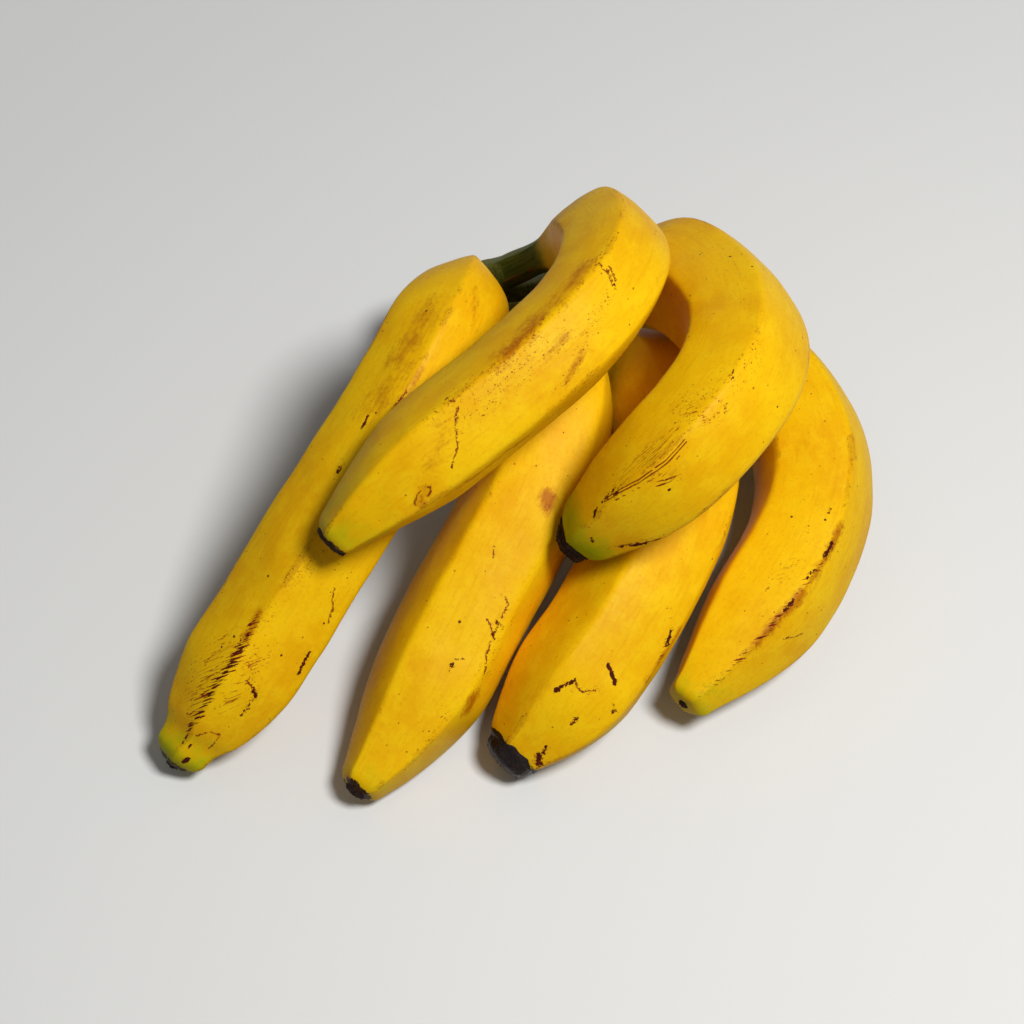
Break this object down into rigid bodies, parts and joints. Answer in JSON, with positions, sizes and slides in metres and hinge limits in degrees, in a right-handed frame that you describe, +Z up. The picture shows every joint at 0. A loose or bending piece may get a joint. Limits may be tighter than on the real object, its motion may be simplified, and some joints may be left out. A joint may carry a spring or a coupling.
{
  "type": "banana hand",
  "caption": "Hand of ripe bananas joined at the crown, lying down with its fingers arched forward in an upper and a lower row.",
  "frame": {"origin": "middle of the footprint, on the surface that the hand lies on", "axes": "+Z up from the surface; +Y towards the crown at the back; +X to the right, across the lower row of bananas"},
  "size_m": [0.2228, 0.1896, 0.1201],
  "materials": {
    "peel": "waxy golden-yellow peel, green towards the stalk and the tip, with brown scuffs and specks",
    "crown": "fibrous olive-green crown tissue, browned and dry on the knife cut",
    "blossom_end": "withered corky flower remains, nearly black"
  },
  "bodies": {
    "root": {"crown": "crown", "lower_banana_1": "peel", "lower_banana_1_blossom_end": "blossom_end", "lower_banana_2": "peel", "lower_banana_2_blossom_end": "blossom_end", "lower_banana_3": "peel", "lower_banana_3_blossom_end": "blossom_end", "lower_banana_4": "peel", "lower_banana_4_blossom_end": "blossom_end", "upper_banana_1": "peel", "upper_banana_1_blossom_end": "blossom_end", "upper_banana_2": "peel", "upper_banana_2_blossom_end": "blossom_end"}
  },
  "joints": []
}
